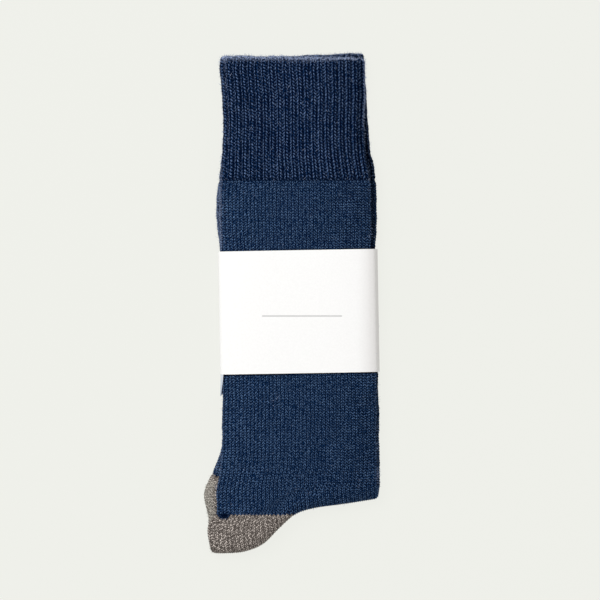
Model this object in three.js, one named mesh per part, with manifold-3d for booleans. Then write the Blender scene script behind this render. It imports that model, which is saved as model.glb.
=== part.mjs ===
// A pair of ribbed alpaca socks, laid one on the other, folded together at the heel and held by a
// paper band. They lie on their feet: +Z is up, the cuffs point to +Y and the heels to -X and -Y.
// The origin is on the surface they lie on, under the centre of the folded pair. Millimetres.
//
// Each sock is one knitted tube, pressed flat. From the top down, the four flat runs of the pair
// are leg A, leg B, foot B and foot A, so sock A is folded round sock B. Down to the heel the two
// walls of a leg lie apart, open at the cuff; in the heel, foot and toe they share one solid.

import * as THREE from 'three';
import { mergeVertices } from 'three/addons/utils/BufferGeometryUtils.js';
import Module from 'manifold-3d';

const wasm = await Module();
wasm.setup();

// The knitted cloth and how the flat runs are stacked.
const WALL = 1.7;
const SLIT = 0.45;
const TUBE = 2 * WALL + SLIT;
const RUN_GAP = 0.45;
const RUN_PITCH = TUBE + RUN_GAP;
const SEAM = 0.3;

// The rib of the cuff: one raised wale and one sunken wale to each rib.
const RIBS_EACH_FACE = 21;
const RIB_DEPTH = 0.45;
const RIB_RIDGE_SHARE = 0.55;
const RIB_SLOPE_SHARE = 0.12;

// Where one knitted piece meets the next, along Y.
const CUFF_END = 74.1;
const SLIT_END = -98;
const LEG_TURNS = -98.7;
const HEEL_TOP = -126.9;
const TOE_START = 44;
const TOE_TIP = 82;

// The heel's line on the foot side runs from the ankle up to the sole, at this slope.
const ANKLE_X = -1.2;
const HEEL_SOLE_SLOPE = 0.507;

// The paper band, its turn about Z and the stretch of the pair that it squeezes.
const PAPER = 0.5;
const BAND_CLEARANCE = 0.35;
const BAND_LENGTH = 73.7;
const BAND_CENTRE = [3.9, -4.6];
const BAND_TURN = THREE.MathUtils.degToRad(1);
const BAND_SQUEEZE = 0.9;
const SQUEEZED = [-45.5, 34.5];
const SQUEEZE_FADE = 6.5;

// The pair is thickest along its middle and rounds away to its sides.
const CROWN_CENTRE = 3.5;
const CROWN_HALF_WIDTH = 48;
const CROWN_DROP = 0.22;
const CROWN_POWER = 4;

// Beyond the toes the legs come down to the surface.
const SAG_START = 78;
const SAG_END = 116;

// How far the ends of the fold draw in as the cloth turns over, and how thin the toe's tip is.
const FOLD_TUCK = 1.2;
const TOE_THINNING = 0.45;

// The lowest edge of the folded pair, seen from above: round the heel, then along the instep.
const FOLD_LINE = [
  { x: -53, y: -148.2 },
  { x: -47, y: -150.2 },
  { x: -38, y: -150.4 },
  { x: -28, y: -148.8 },
  { x: -17, y: -143.3 },
  { x: -7, y: -134.0 },
  { x: 2, y: -126.4 },
  { x: 13, y: -122.8 },
  { x: 32, y: -120.0 },
  { x: 53, y: -116.6 },
];

// The side edges of each flat run, from the fold to the far end.
const LEG_A_SIDES = [
  { y: -148.0, left: -48.6, right: 50.0 },
  { y: -137.1, left: -50.5, right: 50.3 },
  { y: -130.0, left: -48.4, right: 50.4 },
  { y: -125.7, left: -45.2, right: 50.5 },
  { y: -113.0, left: -45.1, right: 50.9 },
  { y: -98.7, left: -42.6, right: 50.9 },
  { y: -83.7, left: -41.8, right: 50.6 },
  { y: -45.5, left: -41.5, right: 50.4 },
  { y: 2.0, left: -42.3, right: 48.6 },
  { y: 34.5, left: -42.6, right: 47.5 },
  { y: 53.1, left: -44.0, right: 47.7 },
  { y: 74.0, left: -42.8, right: 46.7 },
  { y: 86.0, left: -41.9, right: 44.7 },
  { y: 98.0, left: -41.4, right: 43.5 },
  { y: 122.0, left: -41.7, right: 44.1 },
  { y: 140.7, left: -43.5, right: 44.2 },
  { y: 148.5, left: -42.9, right: 43.5 },
];
const LEG_B_SIDES = [
  { y: -148.0, left: -47.6, right: 51.0 },
  { y: -137.1, left: -48.9, right: 51.3 },
  { y: -130.0, left: -47.2, right: 51.5 },
  { y: -125.7, left: -44.6, right: 51.6 },
  { y: -113.0, left: -44.4, right: 51.8 },
  { y: -98.7, left: -41.8, right: 51.9 },
  { y: -83.7, left: -41.2, right: 51.9 },
  { y: -45.5, left: -41.1, right: 51.6 },
  { y: 2.0, left: -42.2, right: 50.4 },
  { y: 34.5, left: -43.0, right: 50.0 },
  { y: 53.1, left: -45.2, right: 50.9 },
  { y: 74.0, left: -43.9, right: 50.2 },
  { y: 84.0, left: -42.7, right: 49.2 },
  { y: 92.0, left: -41.4, right: 47.0 },
  { y: 110.0, left: -40.8, right: 46.0 },
  { y: 132.0, left: -41.6, right: 44.6 },
  { y: 149.4, left: -42.2, right: 43.4 },
];
const FOOT_A_SIDES = [
  { y: -148.0, left: -48.4, right: 51.0 },
  { y: -137.1, left: -50.2, right: 51.4 },
  { y: -130.0, left: -50.2, right: 51.7 },
  { y: -117.5, left: -52.8, right: 52.2 },
  { y: -111.0, left: -51.7, right: 52.5 },
  { y: -102.0, left: -47.8, right: 52.5 },
  { y: -94.5, left: -44.4, right: 52.2 },
  { y: -83.7, left: -41.8, right: 52.0 },
  { y: -70.0, left: -40.4, right: 51.9 },
  { y: -45.5, left: -40.2, right: 51.2 },
  { y: 2.0, left: -41.0, right: 49.8 },
  { y: 44.0, left: -39.8, right: 47.6 },
  { y: 82.0, left: -38.5, right: 44.5 },
];
const FOOT_B_SIDES = [
  { y: -148.0, left: -47.6, right: 50.8 },
  { y: -137.1, left: -49.0, right: 51.2 },
  { y: -130.0, left: -49.2, right: 51.4 },
  { y: -117.5, left: -51.2, right: 51.8 },
  { y: -111.0, left: -50.0, right: 52.0 },
  { y: -102.0, left: -46.4, right: 52.0 },
  { y: -94.5, left: -43.4, right: 51.8 },
  { y: -83.7, left: -41.4, right: 51.6 },
  { y: -70.0, left: -40.8, right: 51.5 },
  { y: -45.5, left: -40.6, right: 51.4 },
  { y: 2.0, left: -41.5, right: 50.2 },
  { y: 44.0, left: -40.5, right: 48.4 },
  { y: 82.0, left: -39.5, right: 45.5 },
];

// Layers are counted from the surface up. The tilt is the slant of the mouth, across its width.
const SOCKS = [
  {
    name: 'sock_a',
    legLayer: 3,
    footLayer: 0,
    leg: LEG_A_SIDES,
    foot: FOOT_A_SIDES,
    mouth: 148.5,
    tilt: -0.006,
  },
  {
    name: 'sock_b',
    legLayer: 2,
    footLayer: 1,
    leg: LEG_B_SIDES,
    foot: FOOT_B_SIDES,
    mouth: 149.4,
    tilt: 0.026,
  },
];

// How finely the solids are faceted.
const PLAIN_STATIONS = 12;
const SLIT_STATIONS = 8;
const EDGE_STEPS = 4;
const TURN_STEPS = 8;
const SHAPE_STEPS = 5;
const CUFF_STEPS = [0, 13, 25, 40, 66];
const LEG_LEVELS = [53, 41, 34.5, 2, -45.5, -52, -66, -83.7];
const FOOT_LEVELS = [-83.7, -66, -52, -45.5, 2, 34.5];
const TOE_SHARES = [0, 0.3, 0.55, 0.75, 0.9, 0.98];
const BLOCK_STATIONS = 24;
const BLOCK_HALF_WIDTH = 64;
const BAND_CORNER_POINTS = 16;
const PAST_THE_END = 4;
const FAR = 200;

const NAVY = new THREE.MeshStandardMaterial({ color: 0x1e304b, roughness: 0.95, metalness: 0 });
const TAUPE = new THREE.MeshStandardMaterial({ color: 0x78706b, roughness: 0.95, metalness: 0 });
const WHITE = new THREE.MeshStandardMaterial({ color: 0xfbfaf8, roughness: 0.6, metalness: 0 });

const smoothstep = (from, to, v) => THREE.MathUtils.smoothstep(v, from, to);

// A smooth curve through the rows of a table, which rise in the column `along`.
function readTable(rows, along, column, at) {
  const v = THREE.MathUtils.clamp(at, rows[0][along], rows[rows.length - 1][along]);
  let i = 0;
  while (i < rows.length - 2 && v > rows[i + 1][along]) i += 1;
  const slope = (k) => {
    const before = rows[Math.max(k - 1, 0)];
    const after = rows[Math.min(k + 1, rows.length - 1)];
    return (after[column] - before[column]) / (after[along] - before[along]);
  };
  const width = rows[i + 1][along] - rows[i][along];
  const s = (v - rows[i][along]) / width;
  const rise = rows[i + 1][column] - rows[i][column];
  const left = slope(i) * width - rise;
  const right = rise - slope(i + 1) * width;
  return rows[i][column] + rise * s + s * (1 - s) * (left * (1 - s) + right * s);
}

// The share of a full squeeze under the band, fading out just past its edges.
function squeezedAt(y) {
  const starts = smoothstep(SQUEEZED[0] - SQUEEZE_FADE, SQUEEZED[0], y);
  const ends = smoothstep(SQUEEZED[1], SQUEEZED[1] + SQUEEZE_FADE, y);
  return starts * (1 - ends);
}

// Takes a point of the evenly stacked pair to where the crown, the squeeze and the band put it.
function settle([x, y, z]) {
  const squeeze = squeezedAt(y);
  const offCentre = Math.min(Math.abs(x - CROWN_CENTRE) / CROWN_HALF_WIDTH, 1);
  const crown = 1 - CROWN_DROP * offCentre ** CROWN_POWER;
  const lift = squeeze * (PAPER + BAND_CLEARANCE);
  return [x, y, lift + z * (1 - (1 - BAND_SQUEEZE) * squeeze) * crown];
}

// The shape of one sock: where the point at x, a height n above its middle surface, lies on a ring.
function foldOf(sock) {
  const centre = (RUN_PITCH * (sock.legLayer + sock.footLayer)) / 2 + TUBE / 2;
  const radius = (RUN_PITCH * (sock.legLayer - sock.footLayer)) / 2;
  const outermost = (RUN_PITCH * 3) / 2 + TUBE / 2;
  const turnLine = (x) => readTable(FOLD_LINE, 'x', 'y', x) + outermost;
  const isLeg = (turn) => turn < Math.PI / 2;
  const pointOn = (ring, x, n) => {
    const reach = radius + n;
    const y = ring.yAt(x) - reach * Math.sin(ring.turn);
    const sag = isLeg(ring.turn) ? 2 * RUN_PITCH * smoothstep(SAG_START, SAG_END, y) : 0;
    return settle([x, y, centre + reach * Math.cos(ring.turn) - sag]);
  };
  return { centre, turnLine, pointOn };
}

// A ring straight across a run, at one Y. Slant turns the ring in its plane, as at the mouth.
function straightRing(sides, y, turn, slant = 0) {
  return {
    turn,
    yAt: (x) => y + slant * x,
    left: readTable(sides, 'y', 'left', y),
    right: readTable(sides, 'y', 'right', y),
  };
}

// A ring between the last straight one and the turn at the fold, as a share of the way there.
function shapedRing(sides, turnLine, share, turn) {
  const yAt = (x) => THREE.MathUtils.lerp(LEG_TURNS, turnLine(x), share);
  return {
    turn,
    yAt,
    left: readTable(sides, 'y', 'left', yAt(sides[0].left)),
    right: readTable(sides, 'y', 'right', yAt(sides[0].right)),
  };
}

// The rings of a sock's fold, from the leg's side of it, round the turn, to the foot's side.
function foldRings(sock, turnLine) {
  const rings = [];
  for (let i = 0; i < SHAPE_STEPS; i += 1) {
    rings.push(shapedRing(sock.leg, turnLine, i / SHAPE_STEPS, 0));
  }
  const legEnd = shapedRing(sock.leg, turnLine, 1, 0);
  const footEnd = shapedRing(sock.foot, turnLine, 1, Math.PI);
  for (let i = 0; i <= TURN_STEPS; i += 1) {
    const share = i / TURN_STEPS;
    rings.push({
      turn: share * Math.PI,
      yAt: turnLine,
      left: THREE.MathUtils.lerp(legEnd.left, footEnd.left, share) + FOLD_TUCK * Math.sin(share * Math.PI),
      right: THREE.MathUtils.lerp(legEnd.right, footEnd.right, share) - FOLD_TUCK * Math.sin(share * Math.PI),
    });
  }
  for (let i = SHAPE_STEPS - 1; i >= 0; i -= 1) {
    rings.push(shapedRing(sock.foot, turnLine, i / SHAPE_STEPS, Math.PI));
  }
  return rings;
}

// The heights of a face's points across a run: flat cloth, or the raised and sunken wales of a rib.
function plainFace(stations) {
  return Array.from({ length: stations + 1 }, (_, i) => ({ across: i / stations, sunk: 0 }));
}

function ribbedFace() {
  const groove = 1 - RIB_RIDGE_SHARE - 2 * RIB_SLOPE_SHARE;
  const profile = [
    { at: 0, sunk: 0 },
    { at: RIB_RIDGE_SHARE, sunk: 0 },
    { at: RIB_RIDGE_SHARE + RIB_SLOPE_SHARE, sunk: RIB_DEPTH },
    { at: RIB_RIDGE_SHARE + RIB_SLOPE_SHARE + groove, sunk: RIB_DEPTH },
  ];
  const face = [];
  for (let rib = 0; rib < RIBS_EACH_FACE; rib += 1) {
    for (const { at, sunk } of profile) face.push({ across: (rib + at) / RIBS_EACH_FACE, sunk });
  }
  face.push({ across: 1, sunk: 0 });
  return face;
}

// The points of one ring, as pairs from its left edge to its right: one on the upper face and one
// on the lower face. At the very edges the two are the same point.
function ringPairs(pointOn, ring, face, thickness, edgeSteps = EDGE_STEPS) {
  const round = (thickness / 2) * (1 - (ring.thinning ?? 0));
  const pair = (x, n) => [pointOn(ring, x, n), pointOn(ring, x, -n)];
  const edge = (centre, side, step) => {
    const angle = (step / edgeSteps) * (Math.PI / 2);
    return pair(centre + side * round * Math.cos(angle), round * Math.sin(angle));
  };
  const first = ring.left + round;
  const last = ring.right - round;
  const steps = Array.from({ length: edgeSteps }, (_, i) => i);
  return [
    ...steps.map((step) => edge(first, -1, step)),
    ...face.map(({ across, sunk }) => pair(THREE.MathUtils.lerp(first, last, across), round - sunk)),
    ...steps.reverse().map((step) => edge(last, 1, step)),
  ];
}

// A closed solid from triangles of points. Shared points are merged.
function solidFrom(triangles) {
  const geometry = new THREE.BufferGeometry();
  geometry.setAttribute('position', new THREE.Float32BufferAttribute(triangles.flat(2), 3));
  return solidOf(geometry);
}

function solidOf(source) {
  const geometry = source.clone();
  geometry.deleteAttribute('normal');
  geometry.deleteAttribute('uv');
  const merged = mergeVertices(geometry, 1e-4);
  const index = merged.index.array;
  const kept = [];
  for (let i = 0; i < index.length; i += 3) {
    const [a, b, c] = [index[i], index[i + 1], index[i + 2]];
    if (a !== b && b !== c && c !== a) kept.push(a, b, c);
  }
  const triVerts = Uint32Array.from(kept);
  const vertProperties = merged.attributes.position.array;
  return new wasm.Manifold(new wasm.Mesh({ numProp: 3, vertProperties, triVerts }));
}

// A solid skinned over rings that run along the sock from its mouth towards its toe.
function skin(pointOn, rings, face, thickness, edgeSteps) {
  const sections = rings.map((ring) => ringPairs(pointOn, ring, face, thickness, edgeSteps));
  const triangles = [];
  const quad = (a, b, c, d) => triangles.push([a, b, c], [a, c, d]);
  const last = sections[0].length - 1;
  for (let r = 0; r < sections.length - 1; r += 1) {
    const [near, far] = [sections[r], sections[r + 1]];
    for (let i = 0; i < last; i += 1) {
      quad(near[i][0], far[i][0], far[i + 1][0], near[i + 1][0]);
      quad(near[i][1], near[i + 1][1], far[i + 1][1], far[i][1]);
    }
    quad(near[0][1], far[0][1], far[0][0], near[0][0]);
    quad(far[last][1], near[last][1], near[last][0], far[last][0]);
  }
  for (let i = 0; i < last; i += 1) {
    const start = sections[0];
    const end = sections[sections.length - 1];
    quad(start[i][0], start[i + 1][0], start[i + 1][1], start[i][1]);
    quad(end[i][0], end[i][1], end[i + 1][1], end[i + 1][0]);
  }
  return solidFrom(triangles);
}

// A block that follows the crown and the squeeze, for cutting the pair between two heights.
function settledBlock(zLow, zHigh) {
  const rings = [FAR, ...LEG_LEVELS, -FAR].map((y) => ({
    y,
    left: -BLOCK_HALF_WIDTH,
    right: BLOCK_HALF_WIDTH,
  }));
  const pointOn = ({ y }, x, n) => settle([x, y, n > 0 ? zHigh : zLow]);
  return skin(pointOn, rings, plainFace(BLOCK_STATIONS), SEAM, 0);
}

// The plan area beyond the heel's line, as an upright prism. Slope 0 is the leg's side of the heel.
function heelPrism(slope, grow) {
  const lineAt = (x) => HEEL_TOP + slope * Math.max(ANKLE_X - x, 0) + grow;
  const plan = new THREE.Shape([
    new THREE.Vector2(-FAR, -FAR),
    new THREE.Vector2(FAR, -FAR),
    new THREE.Vector2(FAR, lineAt(FAR)),
    new THREE.Vector2(ANKLE_X, lineAt(ANKLE_X)),
    new THREE.Vector2(-FAR, lineAt(-FAR)),
  ]);
  const prism = new THREE.ExtrudeGeometry(plan, { depth: FAR, bevelEnabled: false });
  return solidOf(prism.translate(0, 0, -FAR / 2));
}

// The heel pocket: what lies beyond the heel's line on the leg, above, and on the foot, below.
function heelRegion(centre, grow) {
  const above = settledBlock(centre - grow, FAR).intersect(heelPrism(0, grow));
  const below = settledBlock(-FAR, centre + grow).intersect(heelPrism(HEEL_SOLE_SLOPE, grow));
  return above.add(below);
}

function meshOf(name, solid, material) {
  const { vertProperties, triVerts } = solid.getMesh();
  const geometry = new THREE.BufferGeometry();
  geometry.setAttribute('position', new THREE.BufferAttribute(vertProperties, 3));
  geometry.setIndex(new THREE.BufferAttribute(triVerts, 1));
  geometry.computeVertexNormals();
  const mesh = new THREE.Mesh(geometry, material);
  mesh.name = name;
  return mesh;
}

// The ribbed cuff: a tube, pressed flat and open at both ends, ribbed on the outside only.
function makeCuff(sock) {
  const { pointOn } = foldOf(sock);
  const start = CUFF_END + SEAM / 2;
  const slantAt = (y) => sock.tilt * smoothstep(CUFF_END, sock.mouth, y);
  const levels = [...CUFF_STEPS.map((step) => start + step), sock.mouth].reverse();
  const rings = levels.map((y) => straightRing(sock.leg, y, 0, slantAt(y)));
  const outside = skin(pointOn, rings, ribbedFace(), TUBE);
  return outside.subtract(makeSlit(sock, CUFF_END, sock.mouth + PAST_THE_END));
}

// The hollow inside a leg, between two places along it.
function makeSlit(sock, yLow, yHigh) {
  const { pointOn } = foldOf(sock);
  const inset = sock.leg.map((row) => ({ y: row.y, left: row.left + WALL, right: row.right - WALL }));
  const places = [...CUFF_STEPS.map((step) => CUFF_END + step).reverse(), ...LEG_LEVELS];
  const levels = [yHigh, ...places.filter((y) => y < yHigh && y > yLow), yLow];
  const rings = levels.map((y) => straightRing(inset, y, 0));
  return skin(pointOn, rings, plainFace(SLIT_STATIONS), SLIT, 1);
}

// Leg, heel and foot: one folded tube, cut where the knitting changes from one to the next.
function makeLegHeelFoot(sock) {
  const { centre, turnLine, pointOn } = foldOf(sock);
  const rings = [
    straightRing(sock.leg, CUFF_END - SEAM / 2, 0),
    ...LEG_LEVELS.map((y) => straightRing(sock.leg, y, 0)),
    ...foldRings(sock, turnLine),
    ...FOOT_LEVELS.map((y) => straightRing(sock.foot, y, Math.PI)),
    straightRing(sock.foot, TOE_START - SEAM / 2, Math.PI),
  ];
  const folded = skin(pointOn, rings, plainFace(PLAIN_STATIONS), TUBE);
  const heel = folded.intersect(heelRegion(centre, 0));
  const blue = folded.subtract(heelRegion(centre, SEAM));
  const above = settledBlock(centre + SEAM / 2, FAR);
  const below = settledBlock(-FAR, centre - SEAM / 2);
  const leg = blue.intersect(above).subtract(makeSlit(sock, SLIT_END, CUFF_END + PAST_THE_END));
  return { leg, heel, foot: blue.intersect(below) };
}

// The toe: the closed end of the foot, narrower and thinner towards its tip.
function makeToe(sock) {
  const { pointOn } = foldOf(sock);
  const rings = TOE_SHARES.map((share) => {
    const y = THREE.MathUtils.lerp(TOE_START + SEAM / 2, TOE_TIP, share);
    const ring = straightRing(sock.foot, y, Math.PI);
    const middle = (ring.left + ring.right) / 2;
    const half = ((ring.right - ring.left) / 2) * Math.sqrt(1 - share ** 3);
    return { ...ring, left: middle - half, right: middle + half, thinning: TOE_THINNING * share ** 4 };
  });
  return skin(pointOn, rings, plainFace(PLAIN_STATIONS), TUBE);
}

// The outline of the tightest loop round some points, grown by a margin.
function loopRound(points, margin) {
  const step = (2 * Math.PI) / BAND_CORNER_POINTS;
  const corners = Array.from({ length: BAND_CORNER_POINTS }, (_, i) => i * step);
  const grown = points.flatMap(([x, z]) =>
    corners.map((angle) => [x + margin * Math.cos(angle), z + margin * Math.sin(angle)]),
  );
  grown.sort((a, b) => a[0] - b[0] || a[1] - b[1]);
  const turnsLeft = ([a, b], p) => (b[0] - a[0]) * (p[1] - a[1]) - (b[1] - a[1]) * (p[0] - a[0]) > 1e-6;
  const halfLoop = (list) => {
    const chain = [];
    for (const p of list) {
      while (chain.length > 1 && !turnsLeft(chain.slice(-2), p)) chain.pop();
      chain.push(p);
    }
    return chain.slice(0, -1);
  };
  return [...halfLoop(grown), ...halfLoop([...grown].reverse())];
}

// The paper band: the tightest closed loop round the pair, so flat on top and under it.
function makeBand() {
  const [centreX, centreY] = BAND_CENTRE;
  const acrossBand = ([x, y, z]) => [
    (x - centreX) * Math.cos(BAND_TURN) + (y - centreY) * Math.sin(BAND_TURN),
    z,
  ];
  const pointsAt = (sock, sides, y, turn) =>
    ringPairs(foldOf(sock).pointOn, straightRing(sides, y, turn), plainFace(PLAIN_STATIONS), TUBE).flat();
  const held = SOCKS.flatMap((sock) =>
    [SQUEEZED[0], 2, SQUEEZED[1]].flatMap((y) => [
      ...pointsAt(sock, sock.leg, y, 0),
      ...pointsAt(sock, sock.foot, y, Math.PI),
    ]),
  ).map(acrossBand);
  const outline = (margin) => loopRound(held, margin).map(([x, z]) => new THREE.Vector2(x, z));
  const section = new THREE.Shape(outline(BAND_CLEARANCE + PAPER));
  section.holes.push(new THREE.Path(outline(BAND_CLEARANCE)));
  const strip = new THREE.ExtrudeGeometry(section, { depth: BAND_LENGTH, bevelEnabled: false });
  strip.translate(0, 0, -BAND_LENGTH / 2);
  strip.rotateX(Math.PI / 2);
  strip.rotateZ(BAND_TURN);
  strip.translate(centreX, centreY, 0);
  return solidOf(strip);
}

const pair = new THREE.Group();
pair.name = 'folded_sock_pair';
for (const sock of SOCKS) {
  const { leg, heel, foot } = makeLegHeelFoot(sock);
  pair.add(
    meshOf(`${sock.name}_cuff`, makeCuff(sock), NAVY),
    meshOf(`${sock.name}_leg`, leg, NAVY),
    meshOf(`${sock.name}_heel`, heel, TAUPE),
    meshOf(`${sock.name}_foot`, foot, NAVY),
    meshOf(`${sock.name}_toe`, makeToe(sock), TAUPE),
  );
}
pair.add(meshOf('paper_band', makeBand(), WHITE));

export default pair;
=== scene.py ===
"""A pair of ribbed alpaca socks, folded together at the heel and held by a paper band."""

import math

import bpy
import numpy as np
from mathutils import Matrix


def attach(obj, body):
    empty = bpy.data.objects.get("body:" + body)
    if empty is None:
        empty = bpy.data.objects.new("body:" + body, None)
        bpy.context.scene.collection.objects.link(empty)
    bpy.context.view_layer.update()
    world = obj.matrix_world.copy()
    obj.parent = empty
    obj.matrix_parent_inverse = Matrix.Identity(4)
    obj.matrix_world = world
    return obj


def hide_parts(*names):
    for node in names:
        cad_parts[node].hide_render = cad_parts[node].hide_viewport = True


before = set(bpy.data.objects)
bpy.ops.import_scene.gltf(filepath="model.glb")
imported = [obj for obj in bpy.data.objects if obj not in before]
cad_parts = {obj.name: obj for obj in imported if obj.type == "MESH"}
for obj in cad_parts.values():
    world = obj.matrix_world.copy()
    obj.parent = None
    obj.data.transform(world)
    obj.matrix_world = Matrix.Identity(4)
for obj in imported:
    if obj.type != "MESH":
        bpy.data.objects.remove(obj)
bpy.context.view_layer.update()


# The cuffs. Each sock is knitted from its cuff down, in one-by-one rib on 84 needles, from a soft rounded
# welt. Pressed flat, each rib stands up as a narrow line of knit, with a sunken purl column beside it. Sizes
# are in millimetres. Sock A is folded round sock B, so its leg is on top and its foot at the bottom.
NEEDLES = 84
RIB_COURSE = 1.92
CLOTH = 1.7
HOLLOW = 0.45
TUBE = 2 * CLOTH + HOLLOW
RUN_GAP = 0.45
RUN_PITCH = TUBE + RUN_GAP
CUFF_END = 74.1
LEG_TURNS = -98.7
TOE_START = 44.0
TOE_TIP = 82.0
SQUEEZED = (-45.5, 34.5)
SQUEEZE_FADE = 6.5
SQUEEZE_LIFT = 0.85
FOLD_LINE = [
    # x, y
    (-53, -148.3), (-47, -150.4), (-38, -150.5), (-28, -149.4), (-17, -144.7),
    (-7, -134.9), (2, -127.2), (13, -123.5), (32, -120.8), (53, -117.5),
]
# A layer is counted up from the floor. mouth is how far up the cuff ends, and tilt its slope there. The
# lights say how strong the painted highlight of loose hairs catching the light is on the hem and the right
# side, and side_dark how strong the painted shadow on its right side is.
SOCK_A = dict(
    name="sock_a", leg_layer=3, foot_layer=0, mouth=148.6, tilt=-0.018,
    hem_light=1.2, side_light=0.65, side_dark=0.0,
    leg=[
        # y, left edge, right edge
        (-148.0, -48.6, 50.0), (-137.1, -50.5, 50.3), (-130.0, -48.4, 50.4), (-125.7, -45.2, 50.5),
        (-113.0, -45.1, 50.9), (-98.7, -42.6, 50.9), (-83.7, -41.8, 50.6), (-45.5, -41.5, 50.4),
        (2.0, -42.3, 48.6), (34.5, -42.6, 47.3), (53.1, -43.6, 47.3), (74.0, -42.8, 46.6),
        (86.0, -41.9, 44.6), (98.0, -41.4, 43.3), (122.0, -41.7, 43.9), (140.7, -43.5, 44.1),
        (148.5, -42.9, 43.5),
    ],
    foot=[
        (-148.0, -48.4, 51.0), (-137.1, -50.2, 51.4), (-130.0, -50.2, 51.7), (-117.5, -52.8, 52.5),
        (-111.0, -51.7, 52.9), (-102.0, -47.8, 52.7), (-94.5, -44.4, 52.6), (-83.7, -41.8, 52.5),
        (-70.0, -40.4, 52.4), (-45.5, -40.2, 51.6), (2.0, -41.0, 49.8), (44.0, -39.8, 47.6),
        (82.0, -38.5, 44.5),
    ],
)
SOCK_B = dict(
    name="sock_b", leg_layer=2, foot_layer=1, mouth=149.3, tilt=0.042,
    hem_light=0.55, side_light=0.0, side_dark=0.85,
    leg=[
        (-148.0, -47.6, 51.0), (-137.1, -48.9, 51.3), (-130.0, -47.2, 51.5), (-125.7, -44.6, 51.6),
        (-113.0, -44.4, 51.8), (-98.7, -41.8, 51.9), (-83.7, -41.2, 51.9), (-45.5, -41.1, 51.6),
        (2.0, -42.2, 50.4), (34.5, -43.2, 50.1), (53.1, -45.4, 50.95), (74.0, -43.9, 50.2),
        (84.0, -42.7, 49.2), (92.0, -41.4, 47.0), (110.0, -40.8, 45.8), (132.0, -41.6, 44.3),
        (149.4, -42.2, 43.2),
    ],
    foot=[
        (-148.0, -47.6, 50.8), (-137.1, -49.0, 51.2), (-130.0, -49.2, 51.4), (-117.5, -51.2, 51.8),
        (-111.0, -50.0, 52.0), (-102.0, -46.4, 52.0), (-94.5, -43.4, 51.8), (-83.7, -41.4, 51.6),
        (-70.0, -40.8, 51.5), (-45.5, -40.6, 51.4), (2.0, -41.5, 50.2), (44.0, -40.5, 48.4),
        (82.0, -39.5, 45.5),
    ],
)
# The way along a sock from its mouth: down the leg, SHAPING to the fold, TURNING round it, SHAPING again,
# and up the foot. Then how round the mouth's corners are, how far the cloth stands outside the tables' sides,
# how deep it can lie and still have hairs, and how far these stay above the floor.
SHAPING = 28.0
TURNING = 26.4
MOUTH_ROUND = 2.6
SIDE_PROUD = 0.3
OUTSIDE_DEPTH = 0.9
FLOOR_CLEAR = 0.03
MM = 0.001
TINY = 1e-9


def curve(rows, column, at):
    """A smooth curve through the rows of a table, which rise in their first column."""
    place = np.array([row[0] for row in rows], float)
    value = np.array([row[column] for row in rows], float)
    slope = np.empty_like(value)
    slope[1:-1] = (value[2:] - value[:-2]) / (place[2:] - place[:-2])
    slope[0] = (value[1] - value[0]) / (place[1] - place[0])
    slope[-1] = (value[-1] - value[-2]) / (place[-1] - place[-2])
    at = np.clip(np.asarray(at, float), place[0], place[-1])
    i = np.clip(np.searchsorted(place, at, side="right") - 1, 0, len(place) - 2)
    width = place[i + 1] - place[i]
    rise = value[i + 1] - value[i]
    s = (at - place[i]) / width
    left = slope[i] * width - rise
    right = rise - slope[i + 1] * width
    return value[i] + rise * s + s * (1 - s) * (left * (1 - s) + right * s)


def fade(start, end, at):
    """0 before start, 1 after end, and smooth between them."""
    s = np.clip((np.asarray(at, float) - start) / (end - start), 0, 1)
    return s * s * (3 - 2 * s)


def bell(distance, width):
    """1 at no distance, and nothing well beyond the width."""
    return np.exp(-((distance / width) ** 2))


def unit(directions):
    """The directions, each one long."""
    return directions / np.maximum(np.linalg.norm(directions, axis=1), TINY)[:, None]


def turn_line(x):
    """Where the flat runs end and the fold begins to turn."""
    return curve(FOLD_LINE, 1, x) + 1.5 * RUN_PITCH + TUBE / 2


def settle(x, y, z):
    """Rounds the pair away to its sides, squeezes it under the band and lays soft creases in it."""
    off_centre = np.minimum(np.abs(x - 3.5) / 48, 1)
    crown = 1 - 0.22 * off_centre**4
    low, high = SQUEEZED
    squeeze = fade(low - SQUEEZE_FADE, low, y) * (1 - fade(high, high + SQUEEZE_FADE, y))
    free = 1 - squeeze
    crease = 0.012 * np.sin(0.061 * y + 0.035 * x + 0.8) + 0.010 * np.sin(0.093 * x - 0.041 * y + 2.1)
    crease += 0.016 * bell(y + 62 + 0.12 * x, 7) - 0.014 * bell(y + 78 - 0.2 * x, 9)
    crease += 0.014 * bell(y - 52 + 0.08 * x, 6)
    return squeeze * SQUEEZE_LIFT + z * (1 - 0.1 * squeeze) * crown * (1 + free * crease)


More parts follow.
